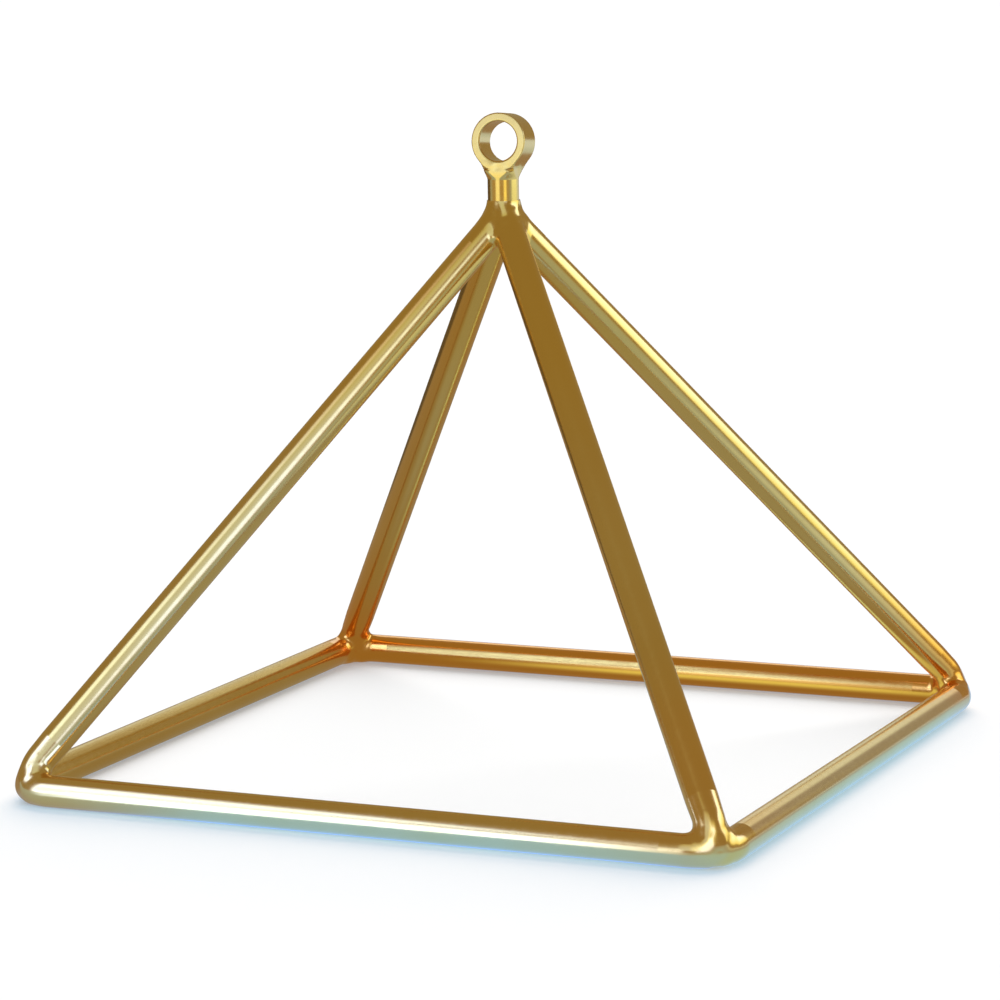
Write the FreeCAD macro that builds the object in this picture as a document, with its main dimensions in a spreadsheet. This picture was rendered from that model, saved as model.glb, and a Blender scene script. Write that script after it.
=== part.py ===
import FreeCAD, Part
import math
import os
import Sketcher
from FreeCAD import Placement, Rotation, Vector

# A singing pyramid: a square pyramid of fused round tube with a hanging ring over its apex.
# The origin is under the middle of the base, on the surface that the base tubes lie on.
# The front is towards -Y and the right is towards +X. Lengths are millimetres.

SIZES = {
    # Over the base tubes, side to side and front to back.
    "base_outer_side": 254,
    "tube_diameter": 10.4,
    "tube_wall": 1.5,
    # From the level of the base tubes' axes up to where the edge tubes' axes meet.
    "apex_rise": 178,
    # The fused corners: axis radius of the bend between two base tubes, axis radius of the bend at
    # an edge tube's foot, how much thinner the softened foot is, and the straight end of each arm.
    "corner_bend_radius": 12,
    "foot_bend_radius": 14,
    "foot_thinning": 0.4,
    "corner_stub": 6,
    "corner_fillet": 1.6,
    # The fused apex: from the meeting point of the axes down each arm, and up to the stem.
    "apex_arm_length": 15,
    "apex_neck_height": 5,
    "apex_fillet": 1.5,
    "neck_fillet": 1.2,
    # The hanger over the apex, on a stem of the same tube. The rise is from the meeting point of the
    # axes to the underside of the ring. The ring is set by hand: turned a little about the stem, and
    # leaning back a little. The turn and the lean are in degrees.
    "ring_underside_rise": 15,
    "ring_diameter": 18.8,
    "ring_bore": 13.2,
    "ring_turn": 3,
    "ring_lean": 5,
    "ring_length": 10.4,
    "ring_edge_round": 0.3,
    # The weld under the ring: how far it reaches down the stem below the ring, and how much wider
    # than the stem it is where it meets the ring.
    "weld_drop": 3,
    "weld_spread": 2.8,
    # How far a cutting shape runs past what it cuts.
    "cut_overrun": 1,
}

# The middle of the ring's weld, as shares of the weld's height and spread.
WELD_MIDDLE_HEIGHT_SHARE = 0.55
WELD_MIDDLE_SPREAD_SHARE = 0.4

QUARTER_TURN = 90
HALF_CORNER = 45
UP = Vector(0, 0, 1)

doc = FreeCAD.newDocument("singing_pyramid")


def make_sheet():
    """The driving dimensions, one named cell each."""
    table = doc.addObject("Spreadsheet::Sheet", "Sizes")
    for row, (name, value) in enumerate(SIZES.items(), start=1):
        table.set(f"A{row}", name)
        table.set(f"B{row}", str(value))
        table.setAlias(f"B{row}", name)
    doc.recompute()
    return table


sheet = make_sheet()


def size(name):
    """A driving dimension, read from the sheet."""
    return float(sheet.get(name))


# Expressions for the sizes that several pieces share.
TUBE_RADIUS = "Sizes.tube_diameter / 2"
BORE_RADIUS = "Sizes.tube_diameter / 2 - Sizes.tube_wall"
FOOT_RADIUS = "Sizes.tube_diameter / 2 - Sizes.foot_thinning / 2"
FOOT_BORE_RADIUS = "Sizes.tube_diameter / 2 - Sizes.foot_thinning / 2 - Sizes.tube_wall"

# The base, seen from above: half the square of the tubes' axes, and the middle of each corner's bend.
tube_radius = size("tube_diameter") / 2
axis_half = (size("base_outer_side") - size("tube_diameter")) / 2
straight_half = axis_half - size("corner_bend_radius")
corner_center = math.hypot(straight_half, straight_half)
bend_middle = corner_center + size("corner_bend_radius")

# An edge tube in its upright diagonal plane: its axis is tangent to the foot's bend, and runs on to
# the apex.
foot_center = bend_middle - size("foot_bend_radius")
apex_from_foot = math.hypot(foot_center, size("apex_rise"))
edge_slope = (math.atan2(size("apex_rise"), foot_center)
              - math.asin(size("foot_bend_radius") / apex_from_foot))
edge_line = math.sqrt(apex_from_foot ** 2 - size("foot_bend_radius") ** 2)
foot_turn = QUARTER_TURN - math.degrees(edge_slope)
up_the_edge = Vector(-math.cos(edge_slope), 0, math.sin(edge_slope))
foot_bend_end = Vector(foot_center + size("foot_bend_radius") * math.sin(edge_slope), 0,
                       size("foot_bend_radius") * math.cos(edge_slope))
apex = Vector(0, 0, tube_radius + size("apex_rise"))

# The ring stands on the point under its middle, where its turn and lean pivot.
ring_radius = size("ring_diameter") / 2
ring_foot = apex + UP * size("ring_underside_rise")
ring_turn = Rotation(UP, size("ring_turn"))
ring_lean = Rotation(Vector(1, 0, 0), -size("ring_lean"))
ring_middle = ring_foot + (ring_turn * ring_lean).multVec(UP * ring_radius)


def along(direction):
    """The turn that lays an upright piece along a direction."""
    return Rotation(UP, direction)


def turned(degrees, height=0.0):
    """A turn about the pyramid's upright axis, and a lift."""
    return Placement(UP * height, Rotation(UP, degrees))


def origin_plane(body, role):
    """One of a body's own origin planes."""
    return next(item for item in body.Origin.OriginFeatures if item.Role == role)


def tube_body(name, outer_radius, inner_radius, length, plane="XY_Plane", midplane=False):
    """A straight round tube: two circles, padded along its length. The sizes are expressions."""
    body = doc.addObject("PartDesign::Body", name)
    body.Label = name
    sketch = body.newObject("Sketcher::SketchObject", name + "_section")
    sketch.AttachmentSupport = [(origin_plane(body, plane), "")]
    sketch.MapMode = "FlatFace"
    circles = (("outer", outer_radius, tube_radius), ("inner", inner_radius, tube_radius / 2))
    for index, (label, expression, start_radius) in enumerate(circles):
        sketch.addGeometry(Part.Circle(Vector(0, 0, 0), UP, start_radius), False)
        sketch.addConstraint(Sketcher.Constraint("Coincident", index, 3, -1, 1))
        number = sketch.addConstraint(Sketcher.Constraint("Radius", index, start_radius))
        sketch.renameConstraint(number, label)
        sketch.setExpression(f"Constraints.{label}", expression)
    pad = body.newObject("PartDesign::Pad", name + "_length")
    pad.Profile = sketch
    pad.Midplane = midplane
    pad.setExpression("Length", length)
    return body


def bend(name, axis_expression, radius_expression, degrees, placement):
    """A round bar bent through an angle, about an upright axis until it is placed."""
    piece = doc.addObject("Part::Torus", name)
    piece.setExpression("Radius1", axis_expression)
    piece.setExpression("Radius2", radius_expression)
    piece.Angle3 = degrees
    piece.Placement = placement
    return piece


def bar(name, radius_expression, length_expression, placement):
    """A straight round bar."""
    piece = doc.addObject("Part::Cylinder", name)
    piece.setExpression("Radius", radius_expression)
    piece.setExpression("Height", length_expression)
    piece.Placement = placement
    return piece


def taper(name, start_expression, end_expression, length_expression, placement):
    """A straight round bar that widens along its length."""
    piece = doc.addObject("Part::Cone", name)
    piece.setExpression("Radius1", start_expression)
    piece.setExpression("Radius2", end_expression)
    piece.setExpression("Height", length_expression)
    piece.Placement = placement
    return piece


def fuse(name, pieces):
    """Pieces melted into one."""
    joined = doc.addObject("Part::MultiFuse", name)
    joined.Shapes = pieces
    return joined


def creases(shape):
    """The numbered edges where two of a shape's round faces run into each other."""
    for number, edge in enumerate(shape.Edges, start=1):
        faces = shape.ancestorsOfType(edge, Part.Face)
        if len(faces) == 2 and not isinstance(edge.Curve, Part.Circle):
            yield number, faces


def soften(name, base, numbers, radius):
    """A base with some of its edges filled in to a concave round."""
    softened = doc.addObject("Part::Fillet", name)
    softened.Base = base
    softened.Edges = [(number, radius, radius) for number in numbers]
    doc.recompute()
    return softened


def cut(name, base, tool):
    """A base with a tool's shape taken out."""
    result = doc.addObject("Part::Cut", name)
    result.Base = base
    result.Tool = tool
    return result


def base_tubes():
    """The four tubes of the base, between the corner joints."""
    length = ("Sizes.base_outer_side - Sizes.tube_diameter"
              " - 2 * Sizes.corner_bend_radius - 2 * Sizes.corner_stub")
    tubes = []
    for turn, side in enumerate(("front", "right", "back", "left")):
        body = tube_body("base_tube_" + side, TUBE_RADIUS, BORE_RADIUS, length, midplane=True)
        lie = Placement(Vector(0, -axis_half, 0), along(Vector(1, 0, 0)))
        body.Placement = turned(turn * QUARTER_TURN, tube_radius).multiply(lie)
        tubes.append(body)
    return tubes


CORNERS = (("back_right", 0), ("back_left", 1), ("front_left", 2), ("front_right", 3))


def corner_turn(quarter, height=0.0):
    """The placement of a corner's pieces, which are built along +X."""
    return turned(HALF_CORNER + quarter * QUARTER_TURN, height)


def edge_tubes():
    """The four rising tubes, between the corner joints and the apex joint."""
    length = f"{edge_line} - Sizes.corner_stub - Sizes.apex_arm_length"
    tubes = []
    for place, quarter in CORNERS:
        body = tube_body("edge_tube_" + place, TUBE_RADIUS, BORE_RADIUS, length)
        start = foot_bend_end + up_the_edge * size("corner_stub")
        rise = Placement(start, along(up_the_edge))
        body.Placement = corner_turn(quarter, tube_radius).multiply(rise)
        tubes.append(body)
    return tubes


def corner_solid(name, base_radius, foot_radius, end_radius, overrun):
    """The bend between two base tubes with the bent foot of an edge tube, at a given thickness."""
    center = Vector(corner_center, 0, 0)
    pieces = [bend(name + "_base_bend", "Sizes.corner_bend_radius", base_radius, QUARTER_TURN,
                   Placement(center, Rotation(UP, -HALF_CORNER)))]
    stub_length = "Sizes.corner_stub" + overrun
    for side in (-1, 1):
        outward = Rotation(UP, side * HALF_CORNER)
        start = center + outward.multVec(Vector(size("corner_bend_radius"), 0, 0))
        direction = outward.multVec(Vector(0, side, 0))
        pieces.append(bar(f"{name}_base_stub_{len(pieces)}", base_radius, stub_length,
                          Placement(start, along(direction))))
    upright = Placement(Vector(foot_center, 0, 0), Rotation(Vector(1, 0, 0), QUARTER_TURN))
    pieces.append(bend(name + "_foot_bend", "Sizes.foot_bend_radius", foot_radius, foot_turn, upright))
    pieces.append(taper(name + "_foot_stub", foot_radius, end_radius, stub_length,
                        Placement(foot_bend_end, along(up_the_edge))))
    return fuse(name, pieces)


def corner_joints():
    """The four fused corners of the base."""
    joints = []
    for place, quarter in CORNERS:
        name = "corner_joint_" + place
        outside = corner_solid(name + "_outside", TUBE_RADIUS, FOOT_RADIUS, TUBE_RADIUS, "")
        doc.recompute()
        crease_numbers = [number for number, faces in creases(outside.Shape)]
        outside = soften(name + "_webbed", outside, crease_numbers, size("corner_fillet"))
        inside = corner_solid(name + "_inside", BORE_RADIUS, FOOT_BORE_RADIUS, BORE_RADIUS,
                              " + Sizes.cut_overrun")
        joint = cut(name, outside, inside)
        joint.Label = name
        joint.Placement = corner_turn(quarter, tube_radius)
        joints.append(joint)
    return joints


def apex_arms(name, radius, overrun):
    """Four bars down the edges from where their axes meet, which is 0."""
    arms = []
    for place, quarter in CORNERS:
        down = corner_turn(quarter).Rotation.multVec(up_the_edge * -1)
        arms.append(bar(f"{name}_arm_{place}", radius, "Sizes.apex_arm_length" + overrun,
                        Placement(Vector(), along(down))))
    return arms


def apex_neck(name, radius, overrun):
    """The bar up to the stem."""
    return bar(name + "_neck", radius, "Sizes.apex_neck_height" + overrun, Placement())


def stands_upright(face):
    """Whether a face is the side of a round bar that stands nearer to upright than to an edge tube."""
    if not isinstance(face.Surface, Part.Cylinder):
        return False
    halfway_lean = math.radians(foot_turn) / 2
    return abs(face.Surface.Axis * UP) > math.cos(halfway_lean)


def apex_joint():
    """The fused hub of the edge tubes: arms webbed to each other, with the neck filleted on top."""
    outside = "apex_joint_outside"
    arms = fuse(outside, apex_arms(outside, TUBE_RADIUS, ""))
    doc.recompute()
    below = [number for number, faces in creases(arms.Shape)
             if arms.Shape.Edges[number - 1].CenterOfMass.z < 0]
    webbed = soften(outside + "_webbed", arms, below, size("apex_fillet"))
    hub = fuse(outside + "_hub", [webbed, apex_neck(outside, TUBE_RADIUS, "")])
    doc.recompute()
    round_neck = [number for number, faces in creases(hub.Shape) if any(map(stands_upright, faces))]
    hub = soften(outside + "_filleted", hub, round_neck, size("neck_fillet"))
    inside = "apex_joint_inside"
    overrun = " + Sizes.cut_overrun"
    bores = apex_arms(inside, BORE_RADIUS, overrun)
    bores.append(apex_neck(inside, BORE_RADIUS, overrun))
    joint = cut("apex_joint", hub, fuse(inside, bores))
    joint.Label = "apex_joint"
    joint.Placement = Placement(apex, Rotation())
    return joint


RING_RADIUS = "Sizes.ring_diameter / 2"
STEM_LENGTH = "Sizes.ring_underside_rise - Sizes.weld_drop - Sizes.apex_neck_height"


def hanger_stem():
    """The short tube over the apex."""
    body = tube_body("hanger_stem", TUBE_RADIUS, BORE_RADIUS, STEM_LENGTH)
    body.Placement = Placement(apex + UP * size("apex_neck_height"), Rotation())
    return body


def hanger_ring():
    """The hanging ring: a slice of larger tube with fire-rounded edges, its bore near level."""
    body = tube_body("hanger_ring", RING_RADIUS, "Sizes.ring_bore / 2", "Sizes.ring_length",
                     plane="XZ_Plane", midplane=True)
    doc.recompute()
    slice_of_tube = body.Tip
    edges = [f"Edge{number}" for number, edge in enumerate(slice_of_tube.Shape.Edges, start=1)
             if isinstance(edge.Curve, Part.Circle)]
    rounded = body.newObject("PartDesign::Fillet", "hanger_ring_edges")
    rounded.Base = (slice_of_tube, edges)
    rounded.setExpression("Radius", "Sizes.ring_edge_round")
    body.Placement = Placement(ring_middle, ring_turn * ring_lean)
    return body


def weld_section(name, width_expression, height_expression):
    """A level section of the weld under the ring, wide along X and as deep as the stem along Y."""
    section = doc.addObject("Part::Ellipse", name)
    section.setExpression("MajorRadius", width_expression)
    section.setExpression("MinorRadius", TUBE_RADIUS)
    section.setExpression("Placement.Base.z", height_expression)
    return section


def ring_weld():
    """The flared bead that carries the ring, cut to the ring's round underside."""
    # The widest section is high enough to lie inside the ring, also where the lean lifts the ring.
    wide = tube_radius + size("weld_spread")
    underside_at_wide = ring_radius - math.sqrt(ring_radius ** 2 - wide ** 2)
    lift_by_lean = tube_radius * math.tan(math.radians(size("ring_lean")))
    height = size("weld_drop") + underside_at_wide + lift_by_lean + size("cut_overrun") / 2
    flare = doc.addObject("Part::Loft", "ring_weld_flare")
    flare.Sections = [
        weld_section("ring_weld_bottom", TUBE_RADIUS, "0"),
        weld_section("ring_weld_middle",
                     f"{TUBE_RADIUS} + Sizes.weld_spread * {WELD_MIDDLE_SPREAD_SHARE}",
                     str(height * WELD_MIDDLE_HEIGHT_SHARE)),
        weld_section("ring_weld_top", f"{TUBE_RADIUS} + Sizes.weld_spread", str(height)),
    ]
    flare.Solid = True
    axis = ring_lean.multVec(Vector(0, 1, 0))
    middle = UP * size("weld_drop") + ring_lean.multVec(UP * ring_radius)
    seat = bar("ring_weld_seat", RING_RADIUS, "Sizes.ring_length * 2",
               Placement(middle - axis * size("ring_length"), along(axis)))
    weld = cut("ring_weld", flare, seat)
    weld.Label = "ring_weld"
    weld.Placement = Placement(ring_foot - UP * size("weld_drop"), ring_turn)
    return weld


pieces = base_tubes() + edge_tubes() + corner_joints()
pieces += [apex_joint(), hanger_stem(), ring_weld(), hanger_ring()]
doc.recompute()

for item in doc.Objects:
    if "Invalid" in item.State or "Error" in item.State:
        raise RuntimeError(f"{item.Label} did not build: {item.State}")
for piece in pieces:
    if piece.Shape.isNull() or not piece.Shape.isValid() or not piece.Shape.Solids:
        raise RuntimeError(f"{piece.Label} has no sound solid")

os.makedirs("parts", exist_ok=True)
for piece in pieces:
    piece.Shape.exportStep(f"parts/{piece.Label}.step")
    print(piece.Label, len(piece.Shape.Solids), "solid", round(piece.Shape.Volume, 1), "mm3")
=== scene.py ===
import math

import bmesh
import bpy
import numpy as np
from mathutils import Matrix, Vector

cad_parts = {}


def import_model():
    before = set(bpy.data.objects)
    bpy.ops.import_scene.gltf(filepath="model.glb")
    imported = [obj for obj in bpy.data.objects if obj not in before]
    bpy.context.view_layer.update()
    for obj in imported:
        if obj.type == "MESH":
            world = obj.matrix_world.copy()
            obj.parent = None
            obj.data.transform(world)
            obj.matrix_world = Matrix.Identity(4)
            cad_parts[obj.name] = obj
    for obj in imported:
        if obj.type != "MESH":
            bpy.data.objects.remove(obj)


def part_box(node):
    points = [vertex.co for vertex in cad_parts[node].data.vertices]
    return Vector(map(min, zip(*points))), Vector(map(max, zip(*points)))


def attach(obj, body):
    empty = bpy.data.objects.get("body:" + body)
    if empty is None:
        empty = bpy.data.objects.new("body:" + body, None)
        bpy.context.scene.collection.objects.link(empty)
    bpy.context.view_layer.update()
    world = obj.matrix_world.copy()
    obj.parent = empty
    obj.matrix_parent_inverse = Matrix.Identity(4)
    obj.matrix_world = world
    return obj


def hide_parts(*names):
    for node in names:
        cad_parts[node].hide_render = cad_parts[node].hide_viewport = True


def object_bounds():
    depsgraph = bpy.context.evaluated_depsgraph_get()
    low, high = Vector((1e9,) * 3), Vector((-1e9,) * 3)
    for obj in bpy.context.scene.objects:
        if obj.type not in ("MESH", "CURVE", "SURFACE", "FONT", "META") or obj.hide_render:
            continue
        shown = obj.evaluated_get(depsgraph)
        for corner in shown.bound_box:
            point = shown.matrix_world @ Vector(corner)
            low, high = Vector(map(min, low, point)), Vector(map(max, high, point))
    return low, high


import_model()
cad_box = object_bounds()

# Sizes are metres. The tubes' own sizes are read from the frame, and the rest are the maker's.
MM = 0.001
UP = Vector((0, 0, 1))
FULL_TURN = 2 * math.pi
SIDES = ("front", "right", "back", "left")
CORNERS = ("back_right", "back_left", "front_left", "front_right")

tube_low, tube_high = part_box("base_tube_front")
TUBE_RADIUS = (tube_high.z - tube_low.z) / 2
TUBE_WALL = 1.5 * MM
AXIS_HALF = -(tube_low.y + tube_high.y) / 2
SIDE = 2 * AXIS_HALF
JOINT_END = tube_high.x

# A fused corner: the bend between two base tubes, and the bent foot of the edge tube on it.
HALF_CORNER = math.radians(45)
CORNER_BEND = 12 * MM
FOOT_BEND = 14 * MM
FOOT_RADIUS = TUBE_RADIUS - 0.2 * MM
STUB = 6 * MM

# The fused apex and the hanger over it.
stem_low, stem_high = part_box("hanger_stem")
APEX_RISE = 178 * MM
APEX_ARM = 15 * MM
RING_RADIUS = 9.4 * MM
RING_BORE = 6.6 * MM
RING_LENGTH = 10.4 * MM
RING_EDGE = 0.3 * MM
RING_TURN = math.radians(3)
RING_LEAN = math.radians(5)
RING_RISE = 15 * MM
STEM_INTO_RING = 3.0 * MM

# The welds: how wide the melted webs are, how soon one fades where its limbs run alongside each
# other, where the ring's flare begins and ends, and how lumpy the flame left them.
CORNER_WEB = 4.0 * MM
APEX_WEB = 3.0 * MM
NECK_WEB = 6.0 * MM
RING_WEB = 4.0 * MM
LEAST_WEB = 0.01 * MM
PARALLEL = 0.15
FLARE_LOW = -3.4 * MM
FLARE_HIGH = 1.2 * MM
LUMP = 0.14 * MM
LUMP_SPACING = 4.5 * MM
LUMP_SPREAD = (0.7, 1.5)
LUMP_WAVES = 12
RING_LUMP = 0.05 * MM

# Mesh fineness.
TUBE_SEGMENTS = 96
TUBE_RINGS = 40
JOINT_VOXEL = 0.26 * MM
RING_VOXEL = 0.2 * MM
SHARP_ANGLE = math.radians(50)

# The rough start of a joint, and how its skin is worked onto its surface.
BALL_FINENESS = 3
BALLS_STRAIGHT = 12
BALLS_BENT = 16
OVERRUN = 3 * MM
MELT_ROUNDS = 5
SMOOTHING = 0.5
SETTLE_TIMES = 3
SLOPE_STEP = 0.01 * MM
LEAST_SQUARE = 0.25
LONGEST_MOVE = 1 * MM


def direction(azimuth, elevation):
    """The unit vector towards a place round the object: azimuth 0 is in front, and 90 is right."""
    a, e = math.radians(azimuth), math.radians(elevation)
    return Vector((math.sin(a) * math.cos(e), -math.cos(a) * math.cos(e), math.sin(e)))


# An edge tube in its upright diagonal plane, outwards along +X and from the base tubes' axes up.
STRAIGHT_HALF = AXIS_HALF - CORNER_BEND
CORNER_CENTER = math.hypot(STRAIGHT_HALF, STRAIGHT_HALF)
BEND_MIDDLE = CORNER_CENTER + CORNER_BEND
FOOT_CENTER = BEND_MIDDLE - FOOT_BEND
APEX_FROM_FOOT = math.hypot(FOOT_CENTER, APEX_RISE)
EDGE_SLOPE = math.atan2(APEX_RISE, FOOT_CENTER) - math.asin(FOOT_BEND / APEX_FROM_FOOT)
FOOT_TURN = math.pi / 2 - EDGE_SLOPE
UP_THE_EDGE = Vector((-math.cos(EDGE_SLOPE), 0, math.sin(EDGE_SLOPE)))
FOOT_END = Vector((
    FOOT_CENTER + FOOT_BEND * math.sin(EDGE_SLOPE), 0, FOOT_BEND * math.cos(EDGE_SLOPE)))
APEX = Vector((0, 0, APEX_RISE))


def corner_azimuth(quarter):
    """The turn about the upright from +X to a corner."""
    return math.radians(45 + 90 * quarter)


def corner_place(quarter):
    """The placement of what is worked out along +X for one corner."""
    return Matrix.Translation(UP * TUBE_RADIUS) @ Matrix.Rotation(corner_azimuth(quarter), 4, "Z")


# A field gives, for many points, the distance to a surface and the way out from it. A surface gives
# the distance alone.


def round_about(points, nearest, radius):
    """The distance and way out from a round surface about the nearest points of its axis."""
    away = points - nearest
    length = np.linalg.norm(away, axis=1)
    return length - radius, away / length[:, None]


def straight_limb(start, end, radius, end_radius=None):
    """The field of a straight round limb between two points on its axis, which may taper."""
    start, end = np.array(start), np.array(end)
    end_radius = radius if end_radius is None else end_radius
    axis = end - start

    def field(points):
        share = np.clip(((points - start) @ axis) / (axis @ axis), 0, 1)
        nearest = start + share[:, None] * axis
        return round_about(points, nearest, radius + (end_radius - radius) * share)

    return field


def bent_limb(center, start, turning, angle, radius):
    """The field of a round limb bent about a centre, from a point on its axis through an angle."""
    center, out = np.array(center), np.array(start) - np.array(center)
    bend = np.linalg.norm(out)
    out = out / bend
    ahead = np.cross(np.array(turning), out)

    def field(points):
        away = points - center
        a = np.clip(np.arctan2(away @ ahead, away @ out), 0, angle)
        nearest = center + bend * (np.cos(a)[:, None] * out + np.sin(a)[:, None] * ahead)
        return round_about(points, nearest, radius)

    return field


def in_one_line(*limbs):
    """The field of limbs that go on from each other: the nearest of them counts."""

    def field(points):
        distance, out = limbs[0](points)
        for limb in limbs[1:]:
            other, other_out = limb(points)
            nearer = other < distance
            distance = np.where(nearer, other, distance)
            out = np.where(nearer[:, None], other_out, out)
        return distance, out

    return field


def lumps(points, spacing, seed):
    """Soft unevenness, about -1 to 1, the same on every run."""
    chance = np.random.default_rng(seed)
    total = np.zeros(len(points))
    for _ in range(LUMP_WAVES):
        way = chance.normal(size=3)
        way *= FULL_TURN / (spacing * chance.uniform(*LUMP_SPREAD) * np.linalg.norm(way))
        total += np.sin(points @ way + chance.uniform(0, FULL_TURN))
    return total / math.sqrt(LUMP_WAVES)


def melted(first, second, reach):
    """Two distances joined by a web, and how near the web each point is."""
    near = np.clip(1 - np.abs(first - second) / reach, 0, 1)
    return np.minimum(first, second) - near ** 2 * reach / 4, near


def welded(fields, web, seed):
    """Fields melted together: a lumpy web fills each crease, and fades where they run alongside."""

    def field(points):
        uneven = LUMP * lumps(points, LUMP_SPACING, seed)
        distance, out = fields[0](points)
        for other_field in fields[1:]:
            other, other_out = other_field(points)
            apart = np.clip(1 - np.sum(out * other_out, axis=1), 0, 1)
            apart = (1 + PARALLEL) * apart / (apart + PARALLEL)
            nearer = (other < distance)[:, None]
            distance, near = melted(distance, other, web * apart + LEAST_WEB)
            distance = distance - near * apart * uneven
            share = np.where(nearer, 1 - near[:, None] / 2, near[:, None] / 2)
            out = out * (1 - share) + other_out * share
        return distance, out

    return field


def surface_of(field):
    """A field's distances alone."""
    return lambda points: field(points)[0]


def settle(points, surface):
    """Moves points onto a surface, along its slope."""
    for _ in range(SETTLE_TIMES):
        distance = surface(points)
        slope = np.stack([(surface(points + way) - distance) / SLOPE_STEP
                          for way in SLOPE_STEP * np.eye(3)], axis=1)
        square = np.maximum(np.sum(slope * slope, axis=1), LEAST_SQUARE)
        move = np.clip(distance / square, -LONGEST_MOVE, LONGEST_MOVE)
        points = points - move[:, None] * slope
    return points


def mesh_object(name, bm):
    """A bmesh made into an object of the scene."""
    mesh = bpy.data.meshes.new(name)
    bm.to_mesh(mesh)
    bm.free()
    made = bpy.data.objects.new(name, mesh)
    bpy.context.scene.collection.objects.link(made)
    return made


# The finished pieces, by the first CAD node that each stands for.
pieces = {}


def new_piece(name, bm, nodes):
    """A finished piece of the gold frame, kept in the CAD model's box, standing for CAD nodes."""
    for vert in bm.verts:
        vert.co = [min(max(c, low), high) for c, low, high in zip(vert.co, *cad_box)]
    bmesh.ops.recalc_face_normals(bm, faces=bm.faces)
    for face in bm.faces:
        face.smooth = True
    for edge in bm.edges:
        edge.smooth = not edge.is_manifold or edge.calc_face_angle(0) < SHARP_ANGLE
    piece = mesh_object(name, bm)
    piece.data.materials.append(gold)
    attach(piece, "root")
    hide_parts(*nodes)
    pieces[nodes[0]] = piece


def closed_line(bm, points):
    """The edges of a closed line through points, the section of what is spun from it."""
    verts = [bm.verts.new(point) for point in points]
    return [bm.edges.new((verts[i - 1], verts[i])) for i in range(len(verts))]


def spin_round(bm, center, axis):
    """Everything in a bmesh, spun into a full round about an axis."""
    bmesh.ops.spin(bm, geom=bm.verts[:] + bm.edges[:], cent=center, axis=axis, dvec=(0, 0, 0),
                   angle=FULL_TURN, steps=TUBE_SEGMENTS, use_merge=True, use_duplicate=False)


def tube_piece(name, node, place, length):
    """A straight hollow tube: its wall's section, spun about its axis, and laid in place."""
    bm = bmesh.new()
    bore = TUBE_RADIUS - TUBE_WALL
    edges = closed_line(bm, [
        (TUBE_RADIUS, 0, 0), (TUBE_RADIUS, 0, length), (bore, 0, length), (bore, 0, 0)])
    long_edges = [edge for edge in edges if edge.calc_length() > TUBE_RADIUS]
    bmesh.ops.subdivide_edges(bm, edges=long_edges, cuts=TUBE_RINGS)
    spin_round(bm, (0, 0, 0), UP)
    drawn = bm.verts.layers.float_vector.new("drawn")
    for vert in bm.verts:
        vert[drawn] = vert.co
    bmesh.ops.transform(bm, matrix=place, verts=bm.verts)
    new_piece(name, bm, [node])


def beads(bm, points):
    """Balls strung along a line, as the rough start of a round limb."""
    for point in points:
        bmesh.ops.create_icosphere(bm, subdivisions=BALL_FINENESS, radius=FOOT_RADIUS,
                                   matrix=Matrix.Translation(point))


def between(start, end):
    """Points along a straight line."""
    return [Vector(start).lerp(Vector(end), i / BALLS_STRAIGHT) for i in range(BALLS_STRAIGHT + 1)]


def remeshed(bm, voxel):
    """The one skin round everything in a bmesh, in small even faces."""
    rough = mesh_object("rough", bm)
    remesh = rough.modifiers.new("skin", "REMESH")
    remesh.mode = "VOXEL"
    remesh.voxel_size = voxel
    skin = bmesh.new()
    skin.from_object(rough, bpy.context.evaluated_depsgraph_get())
    mesh = rough.data
    bpy.data.objects.remove(rough)
    bpy.data.meshes.remove(mesh)
    return skin


def melt(bm, surface, voxel, cuts):
    """A rough solid remeshed, smoothed onto its surface, and cut off square at its ends."""
    skin = remeshed(bm, voxel)
    for _ in range(MELT_ROUNDS):
        bmesh.ops.smooth_vert(skin, verts=skin.verts, factor=SMOOTHING,
                              use_axis_x=True, use_axis_y=True, use_axis_z=True)
        settled = settle(np.array([vert.co for vert in skin.verts]), surface)
        for vert, co in zip(skin.verts, settled):
            vert.co = co
    for point, outward in cuts:
        geom = skin.verts[:] + skin.edges[:] + skin.faces[:]
        bmesh.ops.bisect_plane(skin, geom=geom, plane_co=point, plane_no=outward, clear_outer=True)
        rim = [edge for edge in skin.edges if edge.is_boundary]
        bmesh.ops.edgeloop_fill(skin, edges=rim)
    return skin


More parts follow.
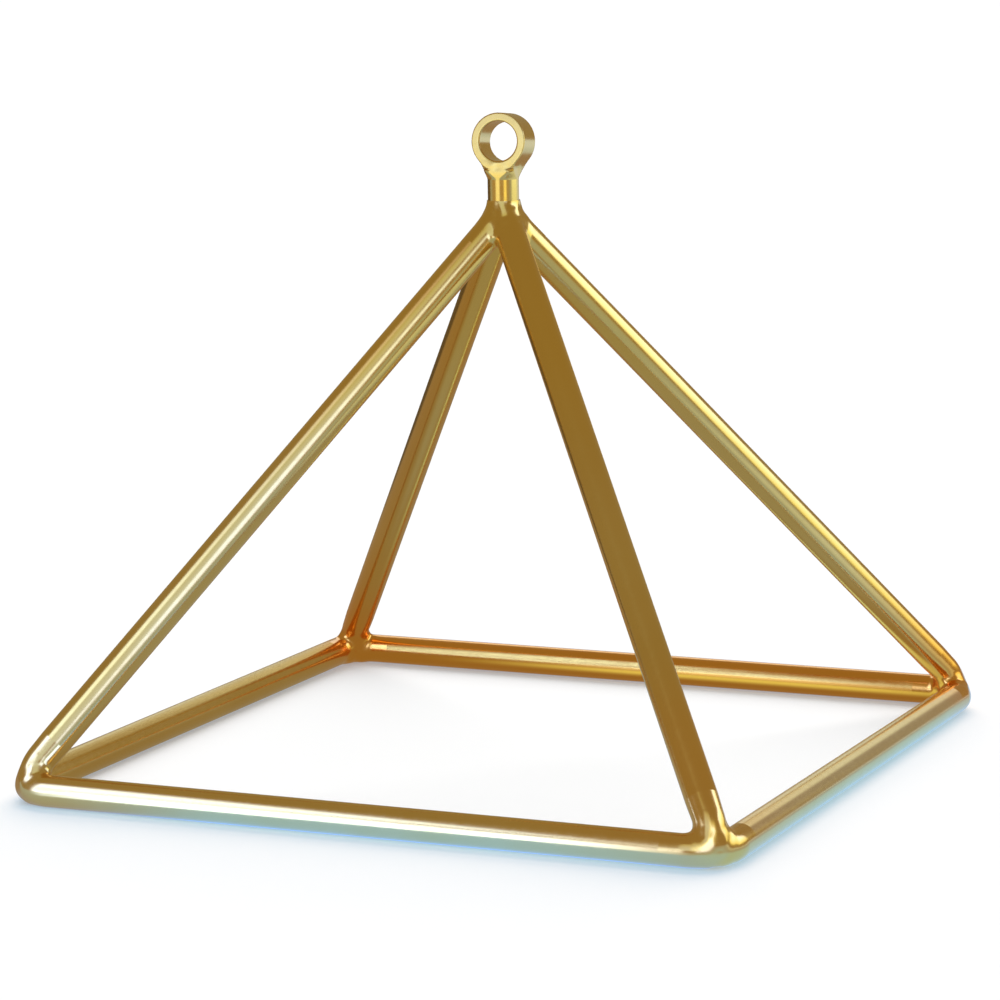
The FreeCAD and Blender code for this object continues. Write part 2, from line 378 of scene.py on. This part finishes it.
def corner_piece(quarter, place_name):
    """A fused corner: two base tubes bent into one, and the edge tube's bent foot melted on."""
    center = Vector((CORNER_CENTER, 0, 0))

    def on_bend(angle):
        return center + CORNER_BEND * Vector((math.cos(angle), math.sin(angle), 0))

    base_limbs, line, cuts = [], [], []
    for side in (-1, 1):
        start = on_bend(side * HALF_CORNER)
        away = Vector((-math.sin(HALF_CORNER), side * math.cos(HALF_CORNER), 0))
        end = start + away * STUB
        base_limbs.append(straight_limb(start, end + away * OVERRUN, TUBE_RADIUS))
        line += between(start, end)
        cuts.append((end, away))
    bend = bent_limb(center, on_bend(-HALF_CORNER), UP, 2 * HALF_CORNER, TUBE_RADIUS)
    base_limbs.append(bend)
    line += [on_bend(a) for a in np.linspace(-HALF_CORNER, HALF_CORNER, BALLS_BENT)]
    foot_center = Vector((FOOT_CENTER, 0, 0))
    foot_start = Vector((BEND_MIDDLE, 0, 0))
    foot_end = FOOT_END + UP_THE_EDGE * STUB
    foot = in_one_line(
        bent_limb(foot_center, foot_start, (0, -1, 0), FOOT_TURN, FOOT_RADIUS),
        straight_limb(FOOT_END, foot_end, FOOT_RADIUS, TUBE_RADIUS),
        straight_limb(foot_end, foot_end + UP_THE_EDGE * OVERRUN, TUBE_RADIUS))
    line += [foot_center + FOOT_BEND * Vector((math.cos(a), 0, math.sin(a)))
             for a in np.linspace(0, FOOT_TURN, BALLS_BENT)]
    line += between(FOOT_END, foot_end)
    cuts.append((foot_end, UP_THE_EDGE))
    bm = bmesh.new()
    beads(bm, line)
    joint = welded([in_one_line(*base_limbs), foot], CORNER_WEB, seed=quarter)
    skin = melt(bm, surface_of(joint), JOINT_VOXEL, cuts)
    bmesh.ops.transform(skin, matrix=corner_place(quarter), verts=skin.verts)
    new_piece("fused_corner_" + place_name, skin, ["corner_joint_" + place_name])


def apex_piece():
    """The fused hub of the four edge tubes, with the neck of the hanger on top."""
    limbs, line, cuts = [], [], []
    for quarter in range(len(CORNERS)):
        down = Matrix.Rotation(corner_azimuth(quarter), 3, "Z") @ -UP_THE_EDGE
        end = APEX + down * APEX_ARM
        limbs.append(straight_limb(APEX, end + down * OVERRUN, TUBE_RADIUS))
        line += between(APEX, end)
        cuts.append((end, down))
    top = Vector((0, 0, stem_low.z - TUBE_RADIUS))
    neck = straight_limb(APEX, top + UP * OVERRUN, TUBE_RADIUS)
    line += between(APEX, top)
    cuts.append((top, UP))
    bm = bmesh.new()
    beads(bm, line)
    hub = welded([welded(limbs, APEX_WEB, seed=7), neck], NECK_WEB, seed=8)
    skin = melt(bm, surface_of(hub), JOINT_VOXEL, cuts)
    bmesh.ops.translate(skin, vec=UP * TUBE_RADIUS, verts=skin.verts)
    new_piece("fused_apex", skin, ["apex_joint"])


def hanger_surface(foot, upright, tilted):
    """The surface of the ring and its flare: melted together as seen from the front, and as deep
    as the ring is long.

    Their edges are small at the ring and grow down the flare, until the section is the stem's.
    """
    foot = np.array(foot)
    upright, tilted = [np.array(axes) for axes in (upright, tilted)]

    def surface(points):
        x, y, z = ((points - foot) @ upright).T
        ring_x, ring_y, ring_z = ((points - foot) @ tilted).T
        from_middle = np.hypot(ring_x, ring_z - RING_RADIUS)
        stem = np.hypot(x, np.maximum(z - STEM_INTO_RING + TUBE_RADIUS, 0)) - TUBE_RADIUS
        front, near = melted(from_middle - RING_RADIUS, stem, RING_WEB)
        rise = np.clip((z - FLARE_LOW) / (FLARE_HIGH - FLARE_LOW), 0, 1)
        rise = rise * rise * (3 - 2 * rise)
        edge = TUBE_RADIUS + (RING_EDGE - TUBE_RADIUS) * rise
        depth = np.abs(y + (ring_y - y) * rise)
        past = np.stack([front, depth - RING_LENGTH / 2], axis=1) + edge[:, None]
        solid = np.linalg.norm(np.maximum(past, 0), axis=1) + np.minimum(past.max(axis=1), 0) - edge
        solid -= RING_LUMP * near * lumps(points, LUMP_SPACING, seed=11)
        return -melted(-solid, from_middle - RING_BORE, 2 * RING_EDGE)[0]

    return surface


def ring_piece():
    """The hanging ring, with the flared weld that carries it on the stem."""
    upright = Matrix.Rotation(RING_TURN, 3, "Z")
    tilted = upright @ Matrix.Rotation(-RING_LEAN, 3, "X")
    foot = APEX + UP * RING_RISE
    middle = foot + tilted @ (UP * RING_RADIUS)
    axis = tilted @ Vector((0, 1, 0))
    across = tilted @ Vector((1, 0, 0))
    bottom = Vector((0, 0, stem_high.z - TUBE_RADIUS))
    section = [(RING_BORE, -1), (RING_RADIUS, -1), (RING_RADIUS, 1), (RING_BORE, 1)]
    bm = bmesh.new()
    closed_line(bm, [middle + across * r + axis * s * RING_LENGTH / 2 for r, s in section])
    spin_round(bm, middle, axis)
    bmesh.ops.recalc_face_normals(bm, faces=bm.faces)
    beads(bm, between(bottom - UP * OVERRUN, foot - UP * STEM_INTO_RING))
    skin = melt(bm, hanger_surface(foot, upright, tilted), RING_VOXEL, [(bottom, -UP)])
    bmesh.ops.translate(skin, vec=UP * TUBE_RADIUS, verts=skin.verts)
    new_piece("hanging_ring", skin, ["hanger_ring", "ring_weld"])


# Materials: colours are linear, and a value in a material may be another node's output.


def new_material(name):
    """A material and its emptied node tree."""
    material = bpy.data.materials.new(name)
    material.use_nodes = True
    material.node_tree.nodes.clear()
    return material, material.node_tree


def add(tree, kind, inputs=None, **settings):
    """A node with settings, and inputs that are values or other nodes' outputs."""
    node = tree.nodes.new(kind)
    for name, value in settings.items():
        setattr(node, name, value)
    for name, value in (inputs or {}).items():
        if isinstance(value, bpy.types.NodeSocket):
            tree.links.new(value, node.inputs[name])
        else:
            node.inputs[name].default_value = value
    return node


def paint(colour):
    """A colour as a node takes it: opaque, or another node's output as it is."""
    return colour if isinstance(colour, bpy.types.NodeSocket) else (*colour, 1)


def reckoned(tree, operation, *values):
    """One number worked out of one or two."""
    inputs = dict(enumerate(values))
    return add(tree, "ShaderNodeMath", inputs, operation=operation).outputs[0]


def product(tree, first, *others):
    """Numbers multiplied."""
    for other in others:
        first = reckoned(tree, "MULTIPLY", first, other)
    return first


def split(tree, vector):
    """The X, Y and Z of a vector."""
    return add(tree, "ShaderNodeSeparateXYZ", {"Vector": vector}).outputs


def fade(tree, value, start, end):
    """0 up to the start, 1 from the end on, and soft between."""
    inputs = {"Value": value, "From Min": start, "From Max": end}
    node = add(tree, "ShaderNodeMapRange", inputs, interpolation_type="SMOOTHSTEP")
    return node.outputs["Result"]


def stretch(tree, value, low, high, soft):
    """1 between two places, with soft ends."""
    return product(tree, fade(tree, value, low - soft / 2, low + soft / 2),
                   fade(tree, value, high + soft / 2, high - soft / 2))


def blend(tree, share, first, second):
    """A colour between two."""
    inputs = {0: share, 6: paint(first), 7: paint(second)}
    return add(tree, "ShaderNodeMix", inputs, data_type="RGBA").outputs[2]


def ramp(tree, factor, stops):
    """A colour ramp through (place, colour) stops."""
    node = add(tree, "ShaderNodeValToRGB", {"Fac": factor})
    elements = node.color_ramp.elements
    while len(elements) < len(stops):
        elements.new(0.5)
    for element, (place, colour) in zip(elements, stops):
        element.position = place
        element.color = paint(colour)
    return node.outputs["Color"]


def noise(tree, place, scale, detail, roughness=0.5):
    """Cloudy values about a half, with more and smaller clouds for a larger scale."""
    inputs = {"Vector": place, "Scale": scale, "Detail": detail, "Roughness": roughness}
    return add(tree, "ShaderNodeTexNoise", inputs).outputs["Fac"]


# The gold's tones: its clouds, the upper tubes, a more orange gold near the welds of the base, and
# painted shade: the foot of the back tube painted more orange.
GOLD_CLOUDS = ((0.30, (0.79, 0.485, 0.14)), (0.50, (0.80, 0.50, 0.155)), (0.70, (0.81, 0.52, 0.17)))
UPPER_GOLD = (0.82, 0.48, 0.11)
ORANGE_GOLD = (0.92, 0.39, 0.065)
WELD_TINT = 0.8
LEAST_TINT = 0.3

# Its surface: the range of its roughness, and the depth of its drawn lines and of its ripple.
POLISH = (0.17, 0.23)
LINE_DEPTH = 0.02 * MM
RIPPLE_DEPTH = 0.05 * MM


def orange_tint_and_painted_shade(tree, place):
    """How far the gold is painted orange: near the welds of the base, and along the foot of the
    back tube as painted shade.
    """
    x, y, z = split(tree, place)
    from_corner = [reckoned(tree, "SUBTRACT", reckoned(tree, "ABSOLUTE", value), AXIS_HALF)
                   for value in (x, y)]
    inputs = {"X": from_corner[0], "Y": from_corner[1], "Z": z}
    offset = add(tree, "ShaderNodeCombineXYZ", inputs).outputs[0]
    distance = add(tree, "ShaderNodeVectorMath", {0: offset}, operation="LENGTH").outputs["Value"]
    near_weld = fade(tree, distance, 0.34 * SIDE, 0.06 * SIDE)
    away_from_left = fade(tree, reckoned(tree, "ADD", x, y), -0.9 * SIDE, -0.2 * SIDE)
    raised = reckoned(tree, "ADD", LEAST_TINT, fade(tree, z, 0.0, 0.4 * SIDE))
    weld = product(tree, near_weld, away_from_left, raised, WELD_TINT)
    # Painted shade: the back tube is painted more orange low down, because the front tubes partly
    # block what it mirrors.
    back = product(tree, fade(tree, y, 0.3 * SIDE, 0.5 * SIDE),
                   fade(tree, z, 0.25 * SIDE, 0.05 * SIDE))
    return reckoned(tree, "MAXIMUM", weld, back)


def gold_coat():
    """Mirror gold over drawn quartz tube: warm, a little uneven in tone, and faintly rippled."""
    material, tree = new_material("mirror_gold_coat")
    place = add(tree, "ShaderNodeTexCoord").outputs["Object"]
    drawn = add(tree, "ShaderNodeAttribute", attribute_name="drawn").outputs["Vector"]

    tone = ramp(tree, noise(tree, place, 24, 3, 0.55), GOLD_CLOUDS)
    upper = stretch(tree, split(tree, place)["Z"], 0.50 * SIDE, 0.84 * SIDE, 0.2 * SIDE)
    tone = blend(tree, upper, tone, UPPER_GOLD)
    # Orange near the welds, and painted shade along the foot of the back tube.
    tone = blend(tree, orange_tint_and_painted_shade(tree, place), tone, ORANGE_GOLD)

    polish = add(tree, "ShaderNodeMapRange", {
        "Value": noise(tree, place, 380, 2, 0.6), "From Min": 0.3, "From Max": 0.7,
        "To Min": POLISH[0], "To Max": POLISH[1]}).outputs["Result"]

    pulled = add(tree, "ShaderNodeMapping", {"Vector": drawn, "Scale": (1, 1, 0.015)})
    lines = add(tree, "ShaderNodeBump", {
        "Height": noise(tree, pulled.outputs["Vector"], 900, 2), "Strength": 0.12,
        "Distance": LINE_DEPTH}).outputs["Normal"]
    surface = add(tree, "ShaderNodeBump", {
        "Height": noise(tree, place, 140, 1), "Strength": 0.35,
        "Distance": RIPPLE_DEPTH, "Normal": lines}).outputs["Normal"]

    shader = add(tree, "ShaderNodeBsdfPrincipled", {
        "Base Color": tone, "Metallic": 1.0, "Roughness": polish, "Normal": surface})
    add(tree, "ShaderNodeOutputMaterial", {"Surface": shader.outputs["BSDF"]})
    return material


gold = gold_coat()

# The gold frame, piece by piece.

base_lie = (Matrix.Translation((-JOINT_END, -AXIS_HALF, TUBE_RADIUS))
            @ Matrix.Rotation(math.pi / 2, 4, "Y"))
for quarter, side in enumerate(SIDES):
    node = "base_tube_" + side
    place = Matrix.Rotation(quarter * math.pi / 2, 4, "Z") @ base_lie
    tube_piece("gold_" + node, node, place, 2 * JOINT_END)

edge_start = FOOT_END + UP_THE_EDGE * STUB
edge_length = math.sqrt(APEX_FROM_FOOT ** 2 - FOOT_BEND ** 2) - STUB - APEX_ARM
edge_rise = (Matrix.Translation(edge_start)
             @ UP_THE_EDGE.to_track_quat("Z", "Y").to_matrix().to_4x4())
for quarter, place_name in enumerate(CORNERS):
    node = "edge_tube_" + place_name
    tube_piece("gold_" + node, node, corner_place(quarter) @ edge_rise, edge_length)
    corner_piece(quarter, place_name)

apex_piece()
stem_place = Matrix.Translation((0, 0, stem_low.z))
tube_piece("gold_stem", "hanger_stem", stem_place, stem_high.z - stem_low.z)
ring_piece()


# The studio. What the gold mirrors is made for it alone: a dim warm room, a patterned floor, and
# glowing cards. The camera sees a white ground.
WHITE = (1, 1, 1)
COOL_WHITE = (1.60, 2.70, 7.50)
ROOM_TONE = (0.34, 0.30, 0.17)
EVEN_LIGHT = 0.5
SUN_WIDTH = math.radians(70)
CARD_GRID = 12

# The floor, inside and outside the base: its colour, and the glow that lifts it to white. The two
# are set against each other as a painted tint of shade: its shadows come out bluish outside the
# base and grey inside.
FLOOR_HALF = 8
FLOOR_EDGE = 8 * MM
FLOOR_OUTSIDE = (0.77, 0.565, 0.40)
FLOOR_INSIDE = (0.765, 0.74, 0.715)
LIFT_OUTSIDE = (0.20, 0.42, 0.60)
LIFT_INSIDE = (0.22, 0.25, 0.28)

# What the gold mirrors of the floor, in sides of the base. Each patch has its glow, where it lies
# from left to right and from front to back, and how soft its ends are both ways. Later ones cover
# earlier ones.
FAR = 30
EVERYWHERE = (-FAR, FAR)
MIRRORED_GROUND = (0.36, 0.30, 0.20)
MIRRORED_PATCHES = (
    ((0.12, 0.10, 0.06), (-FAR, -2.50), EVERYWHERE, (0.60, 1)),
    ((0.62, 0.88, 1.20), (0.50, FAR), EVERYWHERE, (0.10, 1)),
    ((0.74, 1.02, 1.46), (1.10, FAR), EVERYWHERE, (0.40, 1)),
    ((0.42, 0.55, 0.80), (0.45, 0.75), (-0.60, 1.50), (0.10, 0.10)),
    ((0.45, 0.65, 1.00), EVERYWHERE, (-FAR, -0.50), (1, 0.10)),
    ((0.50, 0.42, 0.20), EVERYWHERE, (-FAR, -3.60), (1, 0.80)),
    # Painted shade: this patch keeps the mirrored floor dim inside the base's own square.
    ((0.34, 0.31, 0.20), (-0.50, 0.50), (-0.50, 0.50), (0.04, 0.04)),
    ((0.39, 0.45, 0.46), (-0.35, 0.45), (-0.50, 0.32), (0.20, 0.20)),
    ((0.85, 1.30, 1.10), (-0.20, 0.48), (0.41, 0.465), (0.40, 0.03)),
    ((0.48, 0.90, 1.50), (0.48, 0.60), (-0.60, 1.50), (0.06, 0.06)),
    ((0.40, 0.92, 2.60), (-0.32, 0.52), (-0.60, -0.495), (0.30, 0.02)),
)


def emission(tree, colour, strength=1.0):
    """A plain glow."""
    inputs = {"Color": paint(colour), "Strength": strength}
    return add(tree, "ShaderNodeEmission", inputs).outputs["Emission"]


def both(tree, first, second):
    """Two shaders' light together."""
    return add(tree, "ShaderNodeAddShader", {0: first, 1: second}).outputs["Shader"]


def by_ray(tree, ray, when, otherwise):
    """One shader for a kind of ray, and another for the rest."""
    share = add(tree, "ShaderNodeLightPath").outputs[ray]
    return add(tree, "ShaderNodeMixShader", {0: share, 1: otherwise, 2: when}).outputs["Shader"]


def stage_object(name, bm, material):
    """A mesh that belongs to the studio."""
    obj = mesh_object(name, bm)
    obj.data.materials.append(material)
    return obj


def card_glow(name, colours, soft):
    """A glow from one colour below to another above, which fades out at a card's rims."""
    material, tree = new_material(name)
    spot = add(tree, "ShaderNodeUVMap", uv_map="card").outputs["UV"]
    across, up = split(tree, spot)[:2]
    sides, foot, top = soft
    shown = product(tree, fade(tree, across, 0, sides), fade(tree, across, 1, 1 - sides),
                    fade(tree, up, 0, foot), fade(tree, up, 1, 1 - top))
    glow = emission(tree, blend(tree, fade(tree, up, 0, 1), *colours), shown)
    clear = add(tree, "ShaderNodeBsdfTransparent").outputs["BSDF"]
    add(tree, "ShaderNodeOutputMaterial", {"Surface": both(tree, clear, glow)})
    return material


def card(name, colours, azimuth, distance, span, low, high, soft, lit=None):
    """An upright card round the object that only the gold mirrors, in sides of the base.

    It lies between the two ends of its span, and from low up to a height at each end. Its glow goes
    from one colour at the foot to another at the top, and fades out over a share of the card at the
    sides, foot and top. Where a group is lit, only that group mirrors it.
    """
    bm = bmesh.new()
    bmesh.ops.create_grid(bm, x_segments=CARD_GRID, y_segments=CARD_GRID, size=0.5)
    uv = bm.loops.layers.uv.new("card")
    for face in bm.faces:
        for loop in face.loops:
            loop[uv].uv = (loop.vert.co.x + 0.5, loop.vert.co.y + 0.5)
    left, right = span
    for vert in bm.verts:
        across, up = vert.co.x + 0.5, vert.co.y + 0.5
        top = high[0] + (high[1] - high[0]) * across
        vert.co = (left + (right - left) * across, distance, low + (top - low) * up)
    turn = Matrix.Rotation(math.radians(azimuth + 180), 4, "Z") @ Matrix.Diagonal((-1, 1, 1, 1))
    bmesh.ops.transform(bm, matrix=turn @ Matrix.Scale(SIDE, 4), verts=bm.verts)
    obj = stage_object(name, bm, card_glow(name, colours, soft))
    obj.visible_camera = False
    obj.visible_diffuse = False
    obj.visible_shadow = False
    obj.visible_transmission = False
    if lit is not None:
        obj.light_linking.receiver_collection = lit


def plain(colour):
    """A card's two colours, where they are the same."""
    return colour, colour


def mirrored_floor(tree, place):
    """The floor as the gold mirrors it."""
    x, y = [reckoned(tree, "DIVIDE", value, SIDE) for value in split(tree, place)[:2]]
    colour = MIRRORED_GROUND
    for glow, across, along, soft in MIRRORED_PATCHES:
        share = product(tree, stretch(tree, x, *across, soft[0]), stretch(tree, y, *along, soft[1]))
        colour = blend(tree, share, colour, glow)
    return colour


def floor():
    """The pale floor: white to the camera, with soft shadows that are bluish outside the base."""
    bm = bmesh.new()
    bmesh.ops.create_grid(bm, x_segments=1, y_segments=1, size=FLOOR_HALF)
    material, tree = new_material("pale_floor")
    place = add(tree, "ShaderNodeTexCoord").outputs["Object"]
    inside = product(tree, *(stretch(tree, value, -AXIS_HALF, AXIS_HALF, FLOOR_EDGE)
                             for value in split(tree, place)[:2]))
    colour = blend(tree, inside, FLOOR_OUTSIDE, FLOOR_INSIDE)
    matt = add(tree, "ShaderNodeBsdfDiffuse", {"Color": colour}).outputs["BSDF"]
    lift = emission(tree, blend(tree, inside, LIFT_OUTSIDE, LIFT_INSIDE))
    seen = by_ray(tree, "Is Camera Ray", both(tree, matt, lift), matt)
    seen = by_ray(tree, "Is Glossy Ray", emission(tree, mirrored_floor(tree, place)), seen)
    add(tree, "ShaderNodeOutputMaterial", {"Surface": seen})
    stage_object("floor", bm, material)


def world():
    """White behind the object, a warm dim room in the gold, and even light for the rest."""
    made = bpy.data.worlds.new("studio")
    made.use_nodes = True
    tree = made.node_tree
    tree.nodes.clear()
    room, light, behind = [
        add(tree, "ShaderNodeBackground", {"Color": paint(colour), "Strength": strength}).outputs[0]
        for colour, strength in ((ROOM_TONE, 1.0), (WHITE, EVEN_LIGHT), (WHITE, 1.0))]
    seen = by_ray(tree, "Is Camera Ray", behind, by_ray(tree, "Is Glossy Ray", room, light))
    add(tree, "ShaderNodeOutputWorld", {"Surface": seen})
    bpy.context.scene.world = made


def soft_sun(azimuth, elevation, strength):
    """A wide soft sun for the floor's shadows, which the gold doesn't mirror."""
    data = bpy.data.lights.new("soft_sun", "SUN")
    data.angle = SUN_WIDTH
    data.energy = strength
    lamp = bpy.data.objects.new("soft_sun", data)
    lamp.rotation_euler = direction(azimuth, elevation).to_track_quat("Z", "Y").to_euler()
    lamp.visible_glossy = False
    bpy.context.scene.collection.objects.link(lamp)


def group(name, *nodes):
    """The pieces that a card is for, by the parts that they stand for."""
    made = bpy.data.collections.new(name)
    for node in sorted(nodes):
        made.objects.link(pieces[node])
    return made


def group_without(name, *nodes):
    """All the pieces but some, by the parts that they stand for."""
    return group(name, *(set(pieces) - set(nodes)))


HANGER = ("hanger_ring", "hanger_stem")
seen_by_key = group_without(
    "seen_by_key", *HANGER, "edge_tube_front_left", "edge_tube_front_right",
    "corner_joint_front_right", "apex_joint", "base_tube_back")
seen_by_strip = group_without("seen_by_strip", *HANGER)
seen_by_side_box = group_without("seen_by_side_box", "edge_tube_front_right")
front_joints = group("front_joints", "corner_joint_front_right", "apex_joint")
only_hanger = group("only_hanger", *HANGER)
only_front_corner = group("only_front_corner", "corner_joint_front_right")
only_left_edge = group("only_left_edge", "edge_tube_front_left")
only_front = group(
    "only_front", "base_tube_front", "corner_joint_front_left", "corner_joint_front_right")
only_back = group("only_back", "base_tube_back")
only_left = group("only_left", "base_tube_left")
only_right = group("only_right", "base_tube_right")
back_pieces = group(
    "back_pieces", "base_tube_back", "edge_tube_back_left", "edge_tube_back_right",
    "corner_joint_back_left", "corner_joint_back_right")

card("key", plain(COOL_WHITE), azimuth=-24, distance=2.7,
     span=(-1.9, 0.95), low=-0.02, high=(4.2, 0.95), soft=(0.3, 0.05, 0.26), lit=seen_by_key)
card("low_key", plain((0.85, 1.40, 3.30)), azimuth=-24, distance=2.7,
     span=(-1.1, 1.6), low=-0.02, high=(1.3, 1.0), soft=(0.3, 0.05, 0.3), lit=front_joints)
card("foot_light", plain((0.45, 0.62, 0.40)), azimuth=36, distance=3.0,
     span=(-1.3, 1.3), low=0.3, high=(2.6, 2.6), soft=(0.2, 0.2, 0.3), lit=only_front_corner)
card("back_key", plain((1.00, 2.60, 8.50)), azimuth=-24, distance=2.7,
     span=(-1.0, 0.5), low=-0.02, high=(4.9, 0.9), soft=(0.2, 0.05, 0.3), lit=only_back)
card("hanger_light", ((0.80, 1.10, 0.90), (0.80, 1.30, 2.60)), azimuth=-18, distance=2.7,
     span=(-1.0, 0.9), low=0.05, high=(1.5, 1.5), soft=(0.25, 0.15, 0.3), lit=only_hanger)
card("hanger_strip", plain((0.90, 1.10, 0.70)), azimuth=40, distance=3.4,
     span=(-0.9, 0.6), low=-0.1, high=(1.4, 1.4), soft=(0.2, 0.15, 0.35), lit=only_hanger)
card("narrow_strip", plain((1.10, 1.90, 5.20)), azimuth=36, distance=3.6,
     span=(-0.85, 0.85), low=0.0, high=(2.3, 2.3), soft=(0.17, 0.15, 0.35), lit=seen_by_strip)
card("edge_strip", ((1.20, 2.10, 4.40), (0.18, 0.05, 0.02)), azimuth=-28, distance=2.7,
     span=(-1.0, 0.95), low=1.4, high=(4.9, 4.9), soft=(0.3, 0.1, 0.3), lit=only_left_edge)
card("front_fill", ((0.42, 0.80, 1.80), (0.28, 0.45, 0.45)), azimuth=10, distance=4.0,
     span=(-2.1, 1.5), low=0.7, high=(5.6, 5.6), soft=(0.15, 0.1, 0.1))
card("side_box", ((0.90, 1.20, 0.60), (1.60, 2.60, 5.80)), azimuth=115, distance=3.0,
     span=(-1.75, 1.75), low=0.42, high=(2.5, 2.5), soft=(0.15, 0.15, 0.2), lit=seen_by_side_box)
card("left_window", plain((0.48, 0.65, 0.75)), azimuth=195, distance=3.5,
     span=(-1.3, 1.9), low=0.30, high=(2.8, 2.8), soft=(0.12, 0.15, 0.2), lit=only_left)
card("right_window", plain((0.48, 0.65, 0.75)), azimuth=195, distance=3.5,
     span=(-2.2, 1.9), low=0.30, high=(2.8, 2.8), soft=(0.12, 0.15, 0.2), lit=only_right)
card("right_haze", plain((0.02, 0.08, 0.25)), azimuth=168, distance=3.5,
     span=(-1.6, 0.9), low=-0.02, high=(2.4, 2.4), soft=(0.12, 0.1, 0.2), lit=only_right)
card("front_glow", plain(COOL_WHITE), azimuth=-2, distance=0.585,
     span=(-0.56, 0.52), low=-0.002, high=(0.05, 0.05), soft=(0.25, 0.1, 0.3), lit=only_front)
card("back_glow", plain((0.60, 0.90, 1.40)), azimuth=180, distance=0.40,
     span=(-0.6, 0.35), low=-0.002, high=(0.05, 0.04), soft=(0.5, 0.1, 0.3), lit=only_back)
card("back_window", plain((0.70, 1.00, 1.60)), azimuth=205, distance=3.0,
     span=(-1.3, 1.3), low=0.6, high=(2.3, 2.3), soft=(0.2, 0.2, 0.2), lit=back_pieces)

# The photograph's viewpoint.
CAMERA_PLACE = (0.5313, -1.1878, 0.3019)
CAMERA_AZIMUTH = 24.226
CAMERA_ELEVATION = 9.372
CAMERA_ROLL = math.radians(-0.995)
CAMERA_LENS = 141.1
CAMERA_SENSOR = 36


def camera():
    """The camera at the photograph's viewpoint."""
    data = bpy.data.cameras.new("camera")
    data.sensor_width = CAMERA_SENSOR
    data.lens = CAMERA_LENS
    made = bpy.data.objects.new("camera", data)
    made.location = CAMERA_PLACE
    look = direction(CAMERA_AZIMUTH, CAMERA_ELEVATION).to_track_quat("Z", "Y").to_matrix()
    made.rotation_euler = (look @ Matrix.Rotation(CAMERA_ROLL, 3, "Z")).to_euler()
    bpy.context.scene.collection.objects.link(made)
    bpy.context.scene.camera = made


world()
floor()
soft_sun(azimuth=-165, elevation=40, strength=2.9)
camera()
bpy.context.scene.view_settings.view_transform = "Standard"
